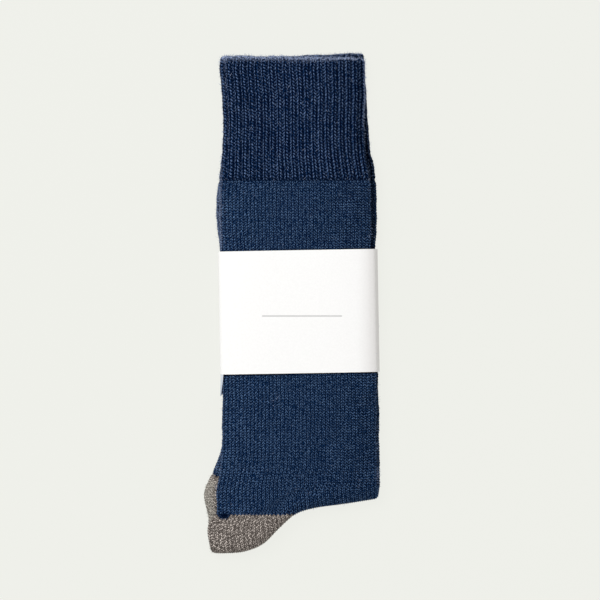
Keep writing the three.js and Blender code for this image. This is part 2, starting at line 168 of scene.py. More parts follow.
def painted_light_shade_of(sock, p, x, y, left, right, turned):
    """How much the cloth is painted lighter, up to 1, mostly as a highlight of loose hairs that catch the
    light. Below 0 it is painted shadow.
    """
    front = turned <= 0
    from_left, from_right = x - left, right - x
    painted_light_shade = 0.3 * bell(from_left, 1.0)
    # The hem: a painted highlight on the welt, which fades more slowly towards the left.
    on_right = fade(10, 32, x)
    painted_light_shade = painted_light_shade + sock["hem_light"] * bell(p, 1.7 - 0.3 * on_right)
    painted_light_shade = painted_light_shade + 0.20 * sock["hem_light"] * (1 - on_right) * bell(p - 2.7, 1.4)
    # Painted highlights on the leg's left side above the band, and on the cuff's right side.
    painted_light_shade = painted_light_shade + 0.36 * fade(26, 40, y) * (1 - fade(66, 78, y)) * front * bell(from_left, 2.4)
    painted_light_shade = painted_light_shade + sock["side_light"] * fade(98, 116, y) * front * bell(from_right, 1.4)
    # The heel's tip is painted lighter from its left side, and the leg's right side has a painted highlight.
    lobe = turned * fade(-134, -126, y) * (1 - fade(-110, -104, y))
    painted_light_shade = painted_light_shade + 0.9 * lobe * bell(from_left, 5)
    painted_light_shade = painted_light_shade + 0.35 * sock["side_light"] * (y < 80) * front * bell(from_right, 1.0)
    # Painted shadow on the inner sock where it lies in the outer one's shadow, a painted dark line of shade
    # in the sunken gap near the cuff's right side, and a painted highlight line near its left side.
    shadow = (1 - fade(128, 144, y)) * front
    under = bell(np.maximum(from_right - 3, 0), 2) - 0.4 * bell(from_right, 1.4)
    painted_light_shade = painted_light_shade - sock["side_dark"] * shadow * under
    cuff_side = sock["side_light"] * fade(84, 98, y) * front
    painted_light_shade = painted_light_shade - cuff_side * 1.25 * bell(from_right - 2.5, 0.9)
    painted_light_shade = painted_light_shade + 0.35 * cuff_side * bell(from_left - 3.0, 1.3)
    return np.minimum(painted_light_shade, 1)


def lay(sock, along, around, inset):
    """The points of a sock's cloth. along is the way from the mouth for each row, around the wale for each
    column, from the left edge over the upper face and back under it, and inset the depth below the surface.
    Each point carries the light and shadow painted on it, and after the points comes how far each has turned."""
    p = np.asarray(along, float)[:, None]
    leg_end = sock["mouth"] - LEG_TURNS
    fold = leg_end + SHAPING
    foot = fold + TURNING
    turned = np.clip((p - fold) / TURNING, 0, 1)
    share = np.clip((p - leg_end) / SHAPING, 0, 1) * (1 - np.clip((p - foot) / SHAPING, 0, 1))
    up_foot = LEG_TURNS + np.maximum(p - foot - SHAPING, 0)
    straight = np.where(p <= leg_end, sock["mouth"] - p, up_foot)
    slant = sock["tilt"] * fade(CUFF_END, sock["mouth"], np.where(turned > 0, CUFF_END, straight))
    toe = np.clip((straight - TOE_START) / (TOE_TIP - TOE_START), 0, 1) * (p > foot)
    at_mouth = np.clip(1 - p / 7, 0, 1)

    def line(x):
        hem = (0.12 * np.sin(0.93 * x) - 0.22 * np.sin(0.31 * x + 1.0)) * at_mouth
        shaped = LEG_TURNS + share * (turn_line(x) - LEG_TURNS)
        return np.where(share > 0, shaped, straight + slant * x + hem)

    sides = []
    tuck = 1.2 * np.sin(math.pi * turned)
    corner = MOUTH_ROUND * (1 - np.sqrt(1 - (1 - np.clip(p / MOUTH_ROUND, 0, 1)) ** 2))
    for column, tuck_in, inwards in ((1, 1, 1), (2, -0.25, -1)):
        on_leg = curve(sock["leg"], column, line(np.full_like(p, sock["leg"][0][column])))
        on_foot = curve(sock["foot"], column, line(np.full_like(p, sock["foot"][0][column])))
        side = on_leg * (1 - turned) + on_foot * turned + tuck_in * tuck
        uneven = 0.16 * np.sin(0.23 * straight + 2.1 * column)
        uneven += 0.08 * np.sin(0.59 * straight + 4.3 * column)
        uneven += 0.05 * np.sin(1.31 * straight + 0.7 * column)
        sides.append(side + (uneven * (share == 0) + inwards * corner))
    middle, half_width = (sides[0] + sides[1]) / 2, (sides[1] - sides[0]) / 2 * np.sqrt(1 - toe**3)
    thickness = TUBE * (1 - 0.45 * toe**4)

    # Each row is a flat loop: half a circle at either side, and a straight run above and below.
    w = np.asarray(around, float)[None, :] / (NEEDLES / 2)
    upper = w <= 1
    from_left = np.where(upper, w, 2 - w)
    r = np.clip(np.minimum(thickness / 2, half_width) - inset, 0.0, None)
    half_width = np.maximum(half_width + SIDE_PROUD - inset, r)
    left, right = middle - half_width, middle + half_width
    bend = math.pi / 2 * r
    half = right - left - 2 * r + 2 * bend
    reach = from_left * half
    some_r = np.maximum(r, 1e-6)
    to_left = np.clip(reach / some_r, 0, math.pi / 2)
    to_right = np.clip((half - reach) / some_r, 0, math.pi / 2)
    flat = np.clip(reach - bend, 0, half - 2 * bend)
    x = left + r * (1 - np.cos(to_left)) + flat + r * np.cos(to_right)
    rise = r * np.minimum(np.sin(to_left), np.sin(to_right)) * np.where(upper, 1, -1)

    # The loop turns about the fold's centre. Past the feet nothing lies under the legs, and they sink.
    angle = math.pi * turned
    out = RUN_PITCH * (sock["leg_layer"] - sock["foot_layer"]) / 2 + rise
    centre = RUN_PITCH * (sock["leg_layer"] + sock["foot_layer"]) / 2 + TUBE / 2
    y = line(x) - out * np.sin(angle)
    sag = np.where(turned > 0, 0, 2 * RUN_PITCH * fade(78, 116, y)) * (share == 0) * (p < foot)
    z = centre + out * np.cos(angle) - sag
    painted_light_shade = painted_light_shade_of(sock, p, x, y, left, right, turned)
    return np.stack([x, y, settle(x, y, z), painted_light_shade], -1), np.broadcast_to(turned, x.shape)


def chance(a, b):
    """An even random number for each whole stitch, the same on each run."""
    return np.modf(np.abs(np.sin(np.mod(a, NEEDLES) * 12.9898 + b * 78.233 + 37.719) * 43758.5453))[0]


def grain(wale, course):
    """The height of plain knit: on each wale, two columns of slanted yarn, which part downwards."""
    across = np.abs(np.modf(wale + 1000)[0] - 0.5)
    along = np.modf(course - 1.5 * across + 1000)[0]
    stitch = chance(np.floor(wale), np.floor(course - 1.5 * across))
    bulge = 1 - np.abs(2 * along - 1) ** 2.6
    ridge = 1 - np.abs(4 * across - 1) ** 2.4
    return ridge * (0.45 + 0.55 * bulge) * (0.92 + 0.16 * stitch)


def purl(wale, course):
    """The height of the back of the knit: short bars across the wale."""
    across = np.abs(np.modf(wale + 1000)[0] - 0.5)
    along = np.modf(course + 0.5 - 0.35 * np.cos(2 * math.pi * across) + 1000)[0]
    return (1 - (2 * across) ** 2) * (1 - np.abs(2 * along - 1) ** 2)


def wander(wale, course):
    """Knitted columns and rows are never quite straight."""
    turn = math.tau / NEEDLES
    side = 0.015 * np.sin(0.17 * course + 7 * turn * wale)
    side = side + 0.01 * np.sin(0.41 * course - 4 * turn * wale + 1.3)
    down = 0.15 * np.sin(7 * turn * wale + 0.05 * course)
    down = down + 0.05 * np.sin(19 * turn * wale - 0.11 * course)
    return wale + side, course + down


def steps(*stretches):
    """Places along or across the cloth, from stretches of (start, end, step)."""
    places = []
    for start, end, step in stretches:
        places.append(np.linspace(start, end, max(round(abs(end - start) / step), 1) + 1)[:-1])
    return np.concatenate([*places, [stretches[-1][1]]])


def loose_hairs(start, out, dice):
    """Five points for each hair, which rises from the cloth at start as a bent ribbon and ends in a tip.
    Most are short, about 0.5 mm, and a few are as long as 2.3 mm."""
    count = len(start)
    sway = dice.normal(size=(count, 3))
    sway -= (sway * out).sum(1, keepdims=True) * out
    length = (0.5 + 1.8 * dice.random(count) ** 2.5)[:, None]
    middle = start + (0.45 * out + 0.15 * sway) * length
    tip = start + (0.70 * out + 0.45 * sway) * length
    aside = np.cross(out + 0.3 * sway, dice.normal(size=(count, 3)))
    half_width = 0.04 + 0.06 * dice.random(count)[:, None]
    aside *= half_width / np.maximum(np.linalg.norm(aside, axis=1), TINY)[:, None]
    hair = np.stack([start - aside, start + aside, middle - aside, middle + aside, tip], 1)
    hair[..., 2] = np.maximum(hair[..., 2], FLOOR_CLEAR)
    return hair.reshape(-1, 3)


def knit(name, sock, along, around, relief, material, hairs, base=0.0, keep=None):
    """A piece of a sock's cloth as one mesh. base is the depth of each row below the surface, and relief
    gives the height, stitch and distance past the seam of each point. Only faces whose middle passes keep
    are made. Loose hairs stand out from it, most of them where it rounds away."""
    base = np.broadcast_to(np.asarray(base, float), (len(along),))[:, None]
    points, turned = lay(sock, along, around, base)
    wales = np.broadcast_to(np.asarray(around, float), turned.shape)
    height, wale, course, seam = relief(wales, points, turned)
    points, turned = lay(sock, along, around, base - height)
    rows, columns = height.shape
    at = np.arange(rows * columns).reshape(rows, columns)
    corners = np.stack([at[:-1, :-1], at[1:, :-1], at[1:, 1:], at[:-1, 1:]], -1).reshape(-1, 4)
    if keep is not None:
        middle = [v.reshape(-1)[corners].mean(1) for v in (points[..., 0], points[..., 1], turned)]
        corners = corners[keep(*middle)]
    closes = (corners % columns == columns - 1) & (around[-1] - around[0] == NEEDLES)
    used, faces = np.unique(np.where(closes, corners - columns + 1, corners), return_inverse=True)
    faces = faces.reshape(-1, 4)

    # The hairs, on the cloth's outside.
    down, across = np.gradient(points[..., :3], axis=0), np.gradient(points[..., :3], axis=1)
    outwards = unit(np.cross(down, across).reshape(-1, 3))
    points = points.reshape(-1, 4)
    painted_light_shade = points[:, 3]
    dice = np.random.default_rng(len(along) + hairs)
    to_side = np.minimum(np.minimum(around, NEEDLES - around), np.abs(around - NEEDLES / 2))
    at_side = np.broadcast_to(0.12 * bell(to_side, 1.2), height.shape).reshape(-1)
    outside = np.broadcast_to(base < OUTSIDE_DEPTH, height.shape).reshape(-1)
    odds = (0.03 + np.maximum(painted_light_shade, 0) + at_side) * outside
    root = dice.choice(used, hairs, p=odds[used] / odds[used].sum())
    hair = loose_hairs(points[root, :3], outwards[root], dice)
    strands = []
    for first in range(len(used), len(used) + 5 * hairs, 5):
        strands.append((first, first + 1, first + 3, first + 2))
        strands.append((first + 2, first + 3, first + 4))
    mesh = bpy.data.meshes.new(name)
    places = np.concatenate([points[used, :3], hair]) * MM
    mesh.from_pydata(places.tolist(), [], faces.tolist() + strands)

    # In the map for baking the cloth lies below, and each hair has a small cell of its own above it.
    corners = corners.reshape(-1)
    row_at, column_at = np.divmod(corners, columns)
    spread = np.stack([0.01 + 0.98 * column_at / (columns - 1), 0.01 + 0.93 * row_at / (rows - 1)], -1)
    number = np.arange(hairs)
    cell = np.stack([number % 250 * 0.0039 + 0.01, number // 250 * 0.0028 + 0.943], -1)
    ribbon = [(0, 0), (0.7, 0), (0.7, 0.4), (0, 0.4)]
    tip = [(0, 0.4), (0.7, 0.4), (0.3, 0.8)]
    strand_spread = (cell[:, None] + (np.array(ribbon + tip) * 0.0030)[None]).reshape(-1, 2)
    stitch = np.stack([wale.reshape(-1), course.reshape(-1)], -1)
    strand_stitches = np.repeat(stitch[root], len(ribbon + tip), axis=0)
    for label, values in (
        ("OFBake", np.concatenate([spread, strand_spread])),
        ("stitches", np.concatenate([stitch[corners], strand_stitches])),
    ):
        layer = mesh.uv_layers.new(name=label)
        layer.uv.foreach_set("vector", values.astype(np.float32).ravel())
    # Each hair carries the strongest painted light, so it is painted mostly in the lit hair colour.
    for label, values, on_hair in (
        ("height", height.reshape(-1)[used], np.zeros(hairs)),
        ("seam", seam.reshape(-1)[used], seam.reshape(-1)[root]),
        ("painted_light_shade", painted_light_shade[used], np.full(hairs, 2.0)),
    ):
        attribute = mesh.attributes.new(label, "FLOAT", "POINT")
        values = np.concatenate([values, np.repeat(on_hair, 5)])
        attribute.data.foreach_set("value", values.astype(np.float32))
    mesh.materials.append(material)
    mesh.shade_smooth()
    piece = bpy.data.objects.new(name, mesh)
    bpy.context.collection.objects.link(piece)
    return piece


class Wire:
    """A socket of a shader. Sums and products of wires add Math nodes."""

    def __init__(self, tree, socket=None):
        self.tree, self.socket = tree, socket

    def node(self, kind, settings=None, values=None, output=0):
        """Any other node: its settings first, then the values or wires of its inputs, by place or name."""
        made = self.tree.nodes.new(kind)
        for key, value in (settings or {}).items():
            setattr(made, key, value)
        for key, value in (values or {}).items():
            if isinstance(value, Wire):
                self.tree.links.new(value.socket, made.inputs[key])
            else:
                made.inputs[key].default_value = value
        return Wire(self.tree, made.outputs[output]) if len(made.outputs) else made

    def maths(self, operation, *values):
        return self.node("ShaderNodeMath", {"operation": operation}, dict(enumerate(values)))

    def __add__(self, other):
        return self.maths("ADD", self, other)

    def __sub__(self, other):
        return self.maths("SUBTRACT", self, other)

    def __rsub__(self, other):
        return self.maths("SUBTRACT", other, self)

    def __mul__(self, other):
        return self.maths("MULTIPLY", self, other)

    def __pow__(self, other):
        return self.maths("POWER", self, other)

    __radd__, __rmul__ = __add__, __mul__

    def fract(self):
        return self.maths("FRACT", self)

    def floor(self):
        return self.maths("FLOOR", self)

    def size(self):
        return self.maths("ABSOLUTE", self)

    def over(self, limit):
        return self.maths("GREATER_THAN", self, limit)

    def ramp(self, low, high):
        smooth = {"interpolation_type": "SMOOTHSTEP"}
        return self.node("ShaderNodeMapRange", smooth, {0: self, 1: low, 2: high})

    def loops(self):
        """1 in the middle of each loop along a run of yarn, and 0 between two loops."""
        return (2 * self.fract() - 1).size().ramp(0.95, 0.15)

    def noise(self, scale, detail, roughness=0.5):
        values = {"Vector": self, "Scale": scale, "Detail": detail, "Roughness": roughness}
        return self.node("ShaderNodeTexNoise", None, values)

    def blend(self, first, second):
        """The first colour where this is 0, and the second where it is 1."""
        return self.node("ShaderNodeMix", {"data_type": "RGBA"}, {0: self, 6: first, 7: second}, 2)

    def vector(self, *parts):
        return self.node("ShaderNodeCombineXYZ", None, dict(enumerate(parts)))

    def parts(self):
        """The x, y and z of this vector."""
        apart = self.node("ShaderNodeSeparateXYZ", None, {0: self})
        return [Wire(self.tree, socket) for socket in apart.socket.node.outputs]


def bare_material(name):
    """A new material without nodes, and a wire to build them with."""
    material = bpy.data.materials.new(name)
    material.use_nodes = True
    material.node_tree.nodes.clear()
    return material, Wire(material.node_tree)


# The darkest navy and taupe are painted shade for the gaps between stitches, and the lightest ones a painted
# highlight of loose hairs that catch the light.
NAVY_GAP_SHADE = (0.0002, 0.003, 0.015, 1)
NAVY = (0.003, 0.023, 0.082, 1)
NAVY_LIT_HAIR = (0.34, 0.41, 0.60, 1)
TAUPE_GAP_SHADE = (0.068, 0.057, 0.051, 1)
TAUPE = (0.084, 0.070, 0.063, 1)
CREAM = (0.74, 0.66, 0.60, 1)
TAUPE_LIT_HAIR = (0.46, 0.44, 0.39, 1)
# How far the strands slant, how wide the painted dark line between them is, and the size of the fibres. Then
# between which values a fibre is painted lit and its colour, the depth at which the knit is painted fully in
# shade, and the contrast of that shade.
RIB_LOOK = dict(
    ribbed=True, slant=1.8, middle=0.25, fibres=1300.0,
    light=(0.45, 0.56), navy_light=(0.106, 0.170, 0.316, 1), dark_at=-1.60, contrast=1.8,
)


def yarn(name, look):
    """Heathered navy alpaca, and past the seam line marled taupe. The yarn is softly twisted and fuzzy:
    single fibres are painted lighter where light catches them, the gaps between stitches are painted in
    shade, and each stitch has its own tone."""
    material, start = bare_material(name)
    wale, course, _ = start.node("ShaderNodeUVMap", {"uv_map": "stitches"}).parts()
    height = start.node("ShaderNodeAttribute", {"attribute_name": "height"}, output=2)
    seam = start.node("ShaderNodeAttribute", {"attribute_name": "seam"}, output=2)
    painted_light_shade = start.node("ShaderNodeAttribute", {"attribute_name": "painted_light_shade"}, output=2)
    place = start.node("ShaderNodeTexCoord", output=3)
    sideways = place.parts()[0]

    # The strands: on each wale a left and a right one, which slant down to the line between them.
    shaky = place.noise(600.0, 1.0)
    whole_wale = wale.floor()
    across = (wale.fract() - 0.5).size()
    slanted = course - look["slant"] * across + 0.6 * shaky
    bead = slanted.loops()
    groove = (2 * across) ** 2.0
    middle = 1 - across.ramp(0.03, look["middle"])
    right = (wale.fract() - 0.5).over(0)
    # Painted light and shade: the strands are painted lit, the left ones more as the light falls from the
    # left, and the groove and the line between them are painted in shade.
    loop = (1 - groove) * (1 - 0.5 * middle) * (1.60 * bead) * (1.2 - 0.3 * right)
    if look["ribbed"]:
        # The left strand is painted as a lit line, and the right one lit on its loops only.
        left_strand = (1 - middle) * (0.30 + 1.25 * bead)
        right_strand = (1 - 0.9 * groove) * (1 - middle) * (1.7 * bead)
        knitted = left_strand + right * (right_strand - left_strand)
        # Every second wale is purl, with bars that show where the rib is pulled apart. The bars are painted
        # lit, more in some places along the rib than others, and the purl between them is painted in shade.
        bar = (1 - (2 * across) ** 2) * (course + 0.6 * shaky).loops()
        pull = start.vector((0.5 * wale).floor() * 7.3, course * 0.13, 3.0)
        closed = pull.noise(1.0, 1.0).ramp(0.36, 0.64)
        purled = (0.5 * wale).fract().over(0.5)
        loop = knitted + purled * ((0.35 + 0.90 * closed) * bar - knitted)

    # The fibres, the heather in the navy yarn and the marl in the taupe one.
    which = start.vector(whole_wale, slanted.floor(), right)
    tone = start.node("ShaderNodeTexWhiteNoise", {"noise_dimensions": "3D"}, {0: which})
    run = start.vector(wale * 3.2, slanted * 1.8 + whole_wale * 3.7, right)
    fibre = run.noise(1.0, 3.0, 0.62)
    hair = place.noise(look["fibres"], 1.0)
    heather = start.vector(wale * 0.11, course * 0.8, 0.0).noise(1.0, 1.0)
    light = (fibre * 0.25 + hair * 0.75).ramp(*look["light"])
    plies = start.vector(wale * 3.4 + 0.5 * slanted, slanted * 1.2, 7.0).noise(1.0, 2.0)
    marl = (plies * 0.60 + hair * 0.40).ramp(0.43, 0.59)
    taupe_side = (seam - 1.5 * (across - 0.25)).over(0)
    lit = taupe_side.blend(light.blend(NAVY, look["navy_light"]), marl.blend(TAUPE, CREAM))
    gap_shade = taupe_side.blend(NAVY_GAP_SHADE, TAUPE_GAP_SHADE)

    # Painted shade: the raised loops keep the lit colour, and lower spots, the gaps, seams and hollows, are
    # painted darker. The inner sock is painted darker where it lies in the outer one's shadow, and the cuff a
    # little darker towards the right, off the light.
    raised = height.ramp(look["dark_at"], 0.0) * loop
    sharp = raised ** look["contrast"]
    raised = sharp + taupe_side * (1.1 * raised - sharp)
    shadow = (painted_light_shade * -1).ramp(0.0, 1.0)
    shade = (1.02 + 0.06 * heather) * (0.97 + 0.06 * tone) * (1 - 0.8 * shadow)
    shade = shade * (0.90 - 0.15 * sideways.ramp(0.010, 0.040) if look["ribbed"] else 1.03)
    lit_yarn = raised.blend(gap_shade, lit)
    colour = start.node("ShaderNodeVectorMath", {"operation": "SCALE"}, {0: lit_yarn, 3: shade})
    # Painted highlight: loose hairs that catch the light are painted as a lighter halo where the cloth rounds
    # away.
    lit_hair = (painted_light_shade * (4.0 * hair - 1.0)).ramp(0.1, 1.5) * 0.85
    colour = lit_hair.blend(colour, taupe_side.blend(NAVY_LIT_HAIR, TAUPE_LIT_HAIR))

    relief = 0.45 * loop + 0.20 * hair + 0.20 * fibre
    bump = start.node("ShaderNodeBump", None, {"Strength": 0.8, "Distance": 0.0006, "Height": relief})
    surface = start.node("ShaderNodeBsdfPrincipled", None, {
        "Base Color": colour, "Roughness": 0.92, "Specular IOR Level": 0.0, "Sheen Weight": 0.02,
        "Sheen Roughness": 0.30, "Sheen Tint": (0.70, 0.70, 0.90, 1), "Normal": bump,
    })
    start.node("ShaderNodeOutputMaterial", None, {"Surface": surface})
    return material


rib_yarn = yarn("rib_yarn", RIB_LOOK)
FINE, COARSE = 0.25, 2.0
NO_TAUPE = -9.0
KNIT_DEPTH = 0.45
SEAM_DEPTH = 0.75


def rib_relief(sock):
    """Each rib is a knit column that leans over, its left strand narrow and its right wide, then a gap."""
    def relief(wale, points, turned):
        x, y = points[..., 0], points[..., 1]
        down = sock["mouth"] - y
        wale, course = wander(wale, down / RIB_COURSE)
        in_pair = np.mod(wale, 2)
        wale = wale - in_pair + np.interp(in_pair, (0, 0.6, 1.55, 2), (0, 0.5, 1, 2))
        knitted = np.mod(wale, 2) < 1
        gap = np.sin(math.pi * np.clip(np.mod(wale, 2) - 1, 0, 1))
        gap = gap * (0.12 + 0.30 * fade(8, 38, x))
        on_rib = KNIT_DEPTH * grain(wale, course) - KNIT_DEPTH
        between = 0.18 * purl(wale, course) - KNIT_DEPTH - gap
        ribs = -0.12 + (np.where(knitted, on_rib, between) + 0.12) * fade(-0.6, 1.6, down)
        at_seam = bell(y - CUFF_END, 1.2)
        return ribs + at_seam * (-SEAM_DEPTH - ribs), wale, course, np.full_like(wale, NO_TAUPE)

    return relief


# The wales are fine where the cloth shows, and coarse over the hidden stretch that is given here.
for sock, (hidden_from, hidden_to) in ((SOCK_A, (44, 82)), (SOCK_B, (3, 39))):
    cuff_length = sock["mouth"] - CUFF_END
    over = np.linspace(math.pi, 0, 9)
    inside = np.linspace(40, CLOTH / 2, 7)[:-1]
    outside = steps((CLOTH / 2, cuff_length, RIB_COURSE / 4))[1:]
    along = np.concatenate([inside, CLOTH / 2 * (1 - np.sin(over)), outside])
    welt = CLOTH / 2 * (1 - np.cos(over))
    base = np.concatenate([np.full_like(inside, CLOTH), welt, np.zeros_like(outside)])
    around = steps((0, hidden_from, FINE), (hidden_from, hidden_to, COARSE), (hidden_to, NEEDLES, FINE))
    label, relief = sock["name"] + "_cuff_knit", rib_relief(sock)
    cuff = knit(label, sock, along, around, relief, rib_yarn, hairs=3000, base=base)
    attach(cuff, "root")
    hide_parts(sock["name"] + "_cuff")


# The legs, in plain knit of the same navy yarn, one wale to each needle. They run from the cuff's last
# course down to the fold: round the instep halfway through the turn, and at the back as far as the heel.
COURSE = 201 / 122
UNDER_BAND_STEP = 3.0
HEEL_TOP = -126.9
ANKLE_X = -1.2
HEEL_SOLE_SLOPE = 0.507
BAND_CENTRE = (3.9, -5.0)
BAND_SLOPE = 0.0175
PLAIN_LOOK = dict(
    ribbed=False, slant=2.1, middle=0.20, fibres=1400.0,
    light=(0.425, 0.585), navy_light=(0.093, 0.170, 0.316, 1), dark_at=-1.20, contrast=1.5,
)
leg_yarn = yarn("leg_yarn", PLAIN_LOOK)


def gore_line(x):
    """The slanting seam of the heel and the foot, on the sole's side."""
    return HEEL_TOP + HEEL_SOLE_SLOPE * np.maximum(ANKLE_X - x, 0)


def plain_height(wale, course):
    return 0.55 * grain(wale, course) - KNIT_DEPTH


def plain_relief(wale, points, turned):
    """Plain knit. Down the leg and up the foot the courses run straight across, and in the fold with it."""
    x, y = points[..., 0], points[..., 1]
    turn, instep = turn_line(x), turn_line(26.0)
    on_leg = np.minimum(CUFF_END - y, CUFF_END - turn)
    on_foot = CUFF_END - 2 * instep + TURNING + y
    heel_turn = CUFF_END - turn + turned * TURNING
    instep_turn = (CUFF_END - turn) * (1 - turned) + (CUFF_END - 2 * instep + TURNING + turn) * turned
    in_turn = heel_turn + fade(-8, 6, x) * (instep_turn - heel_turn)
    run = np.where(turned <= 0, on_leg, np.where(turned >= 1, on_foot, in_turn))
    gore = gore_line(x)
    dip = 2.6 * fade(-37.5, -39.0, x) * fade(-45.5, -44.0, x)
    seam = np.where(turned < 0.5, HEEL_TOP - dip - y, np.maximum(gore - y, y - TOE_START)) / COURSE
    wale, course = wander(wale, run / COURSE)
    height = plain_height(wale, course)
    at_cuff = np.where(turned <= 0, bell(y - CUFF_END, 1.5), 0)
    at_gore = np.where(turned >= 1, bell(gore - y, 0.9), 0)
    # The band's edges press into the leg, and the leg is tucked in where the heel starts. Through the stored
    # height, these hollows and the grooves at the cuff and the heel's seam are also painted darker, as shade.
    pressed = 0
    for edge, depth in ((-36.9, 2.0), (36.9, 0.8)):
        past_edge = y - BAND_CENTRE[1] - edge - BAND_SLOPE * (x - BAND_CENTRE[0])
        pressed += depth * bell(past_edge, 0.8) * (turned <= 0)
    tucked = bell(x + 41.5, 3.2) * bell(y + 127.6, 1.7) * (turned <= 0)
    height += at_cuff * (-0.62 - height) + at_gore * (-KNIT_DEPTH - height)
    height -= 0.35 * np.where(turned >= 1, bell(y - gore - 1.3, 1.1), 0) * fade(-40, -44, x)
    return height - 0.45 * pressed - 1.0 * tucked, wale, course, seam


def heel_relief(wale, points, turned):
    """The heel's courses go on from the leg's to its seam with the foot."""
    height, plain_wale, course, seam = plain_relief(wale, points, turned)
    x, y = points[..., 0], points[..., 1]
    run = CUFF_END - turn_line(x) + TURNING + (y - turn_line(x))
    sole_wale, sole_course = wander(wale, run / COURSE)
    sole_height = plain_height(sole_wale, sole_course)
    sole_height += bell(gore_line(x) - y, 0.9) * (-KNIT_DEPTH - sole_height)
    sole = turned >= 1
    return (np.where(sole, sole_height, height), np.where(sole, sole_wale, plain_wale),
            np.where(sole, sole_course, course), seam)


def in_heel(x, y, turned):
    return np.where(turned < 0.5, y < HEEL_TOP, y < gore_line(x))


def in_leg(x, y, turned):
    return ~in_heel(x, y, turned) & (turned < 0.5)


def in_foot(x, y, turned):
    return ~in_heel(x, y, turned) & (turned > 0.5)


def ways(sock):
    """How far along a sock from its mouth the legs start, shape, turn and become the foot."""
    start = sock["mouth"] - CUFF_END
    shape = sock["mouth"] - LEG_TURNS
    fold = shape + SHAPING
    return start, shape, fold, fold + TURNING, fold + TURNING + SHAPING


for sock, per_course, around in (
    (SOCK_A, 4, steps((0, 44, FINE), (44, 82, COARSE), (82, NEEDLES, FINE))),
    (SOCK_B, 3, steps((0, 4, FINE), (4, 38, COARSE), (38, 46, FINE), (46, 80, COARSE), (80, NEEDLES, FINE))),
):
    start, shape, fold, foot, straight = ways(sock)
    step = COURSE / per_course
    band_top, band_bottom = sock["mouth"] - 30, sock["mouth"] + 39
    sock["around"] = around
    sock["fold_rows"] = steps((shape, fold, step * 0.7), (fold, foot, step), (foot, straight, step * 0.9))
    under_band = (band_top, band_bottom, UNDER_BAND_STEP)
    down = steps((start, band_top, step), under_band, (band_bottom, shape, step))
    along = np.concatenate([down[:-1], sock["fold_rows"]])
    label = sock["name"] + "_leg_knit"
    leg = knit(label, sock, along, around, plain_relief, leg_yarn, hairs=1200, keep=in_leg)
    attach(leg, "root")
    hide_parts(sock["name"] + "_leg")


# The heels, pockets of marled taupe yarn, knitted on short rows at the back of the ankle. Their lower half
# lies against the sole and shows to the left of the leg. A slanting line of joined rows ends them there.
for sock in (SOCK_A, SOCK_B):
    rows, columns = sock["fold_rows"], sock["around"]
    label = sock["name"] + "_heel_knit"
    heel = knit(label, sock, rows, columns, heel_relief, leg_yarn, hairs=500, keep=in_heel)
    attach(heel, "root")
    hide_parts(sock["name"] + "_heel")


# The feet, in the navy yarn again. They go from halfway round the instep and from the heel's slanting seam
# up behind the legs to the toe, and the outer one is the underside that the pair rests on.
FOOT_STEP = 0.55
for sock in (SOCK_A, SOCK_B):
    straight = ways(sock)[-1]
    band_bottom, band_top = straight + 59.7, straight + 128.7
    toe_start = straight + TOE_START - LEG_TURNS
    under_band = (band_bottom, band_top, UNDER_BAND_STEP)
    up = steps((straight, band_bottom, FOOT_STEP), under_band, (band_top, toe_start, FOOT_STEP))
    along = np.concatenate([sock["fold_rows"][:-1], up])
    around = sock["around"]
    label = sock["name"] + "_foot_knit"
    foot_piece = knit(label, sock, along, around, plain_relief, leg_yarn, hairs=1000, keep=in_foot)
    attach(foot_piece, "root")
    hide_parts(sock["name"] + "_foot")


# The toes, closed ends in the taupe yarn, which narrow and thin towards a rounded tip. They lie behind the
# legs, so the photograph doesn't show them.
for sock in (SOCK_A, SOCK_B):
    toe_start = ways(sock)[-1] + TOE_START - LEG_TURNS
    length = TOE_TIP - TOE_START
    along = toe_start + length * (1 - (1 - np.linspace(0, 1, 80)) ** 1.6)
    label = sock["name"] + "_toe_knit"
    toe = knit(label, sock, along, sock["around"], plain_relief, leg_yarn, hairs=300)
    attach(toe, "root")
    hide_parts(sock["name"] + "_toe")


# The band, one strip of smooth white paper, wrapped tightly round the pair and glued to itself underneath.
# It is cut about 74 mm tall, lies a degree askew, and bends softly round the sides of the stack. Its first
# end slants out below the lap, so that a corner of it shows at the lower left.
BAND_TURN = math.radians(1)
BAND_TALL = 73.85
BAND_MARGIN = 0.7
PAPER = 0.25
LAP = 34.0
LAP_LIFT = 0.3
FIRST_END_DROP = 13.0


def loop_round(points, margin):
    """The tightest closed loop round points, that far out, from its lowest left corner anticlockwise."""
    angle = np.arange(24) / 24 * math.tau
    rim = np.stack([np.cos(angle), np.sin(angle)], -1) * margin
    grown = (points[:, None, :] + rim[None]).reshape(-1, 2)
    grown = grown[np.lexsort((grown[:, 1], grown[:, 0]))]

    def half(run):
        chain = []
        for point in run:
            while len(chain) > 1:
                (ax, ay), (bx, by) = chain[-2:]
                if (bx - ax) * (point[1] - ay) - (by - ay) * (point[0] - ax) > TINY:
                    break
                chain.pop()
            chain.append(tuple(point))
        return chain[:-1]

    return np.array(half(grown) + half(grown[::-1]))


def share_between(low, high, value):
    """0 up to low, 1 from high on, and straight between them."""
    return min(max((value - low) / (high - low), 0), 1)


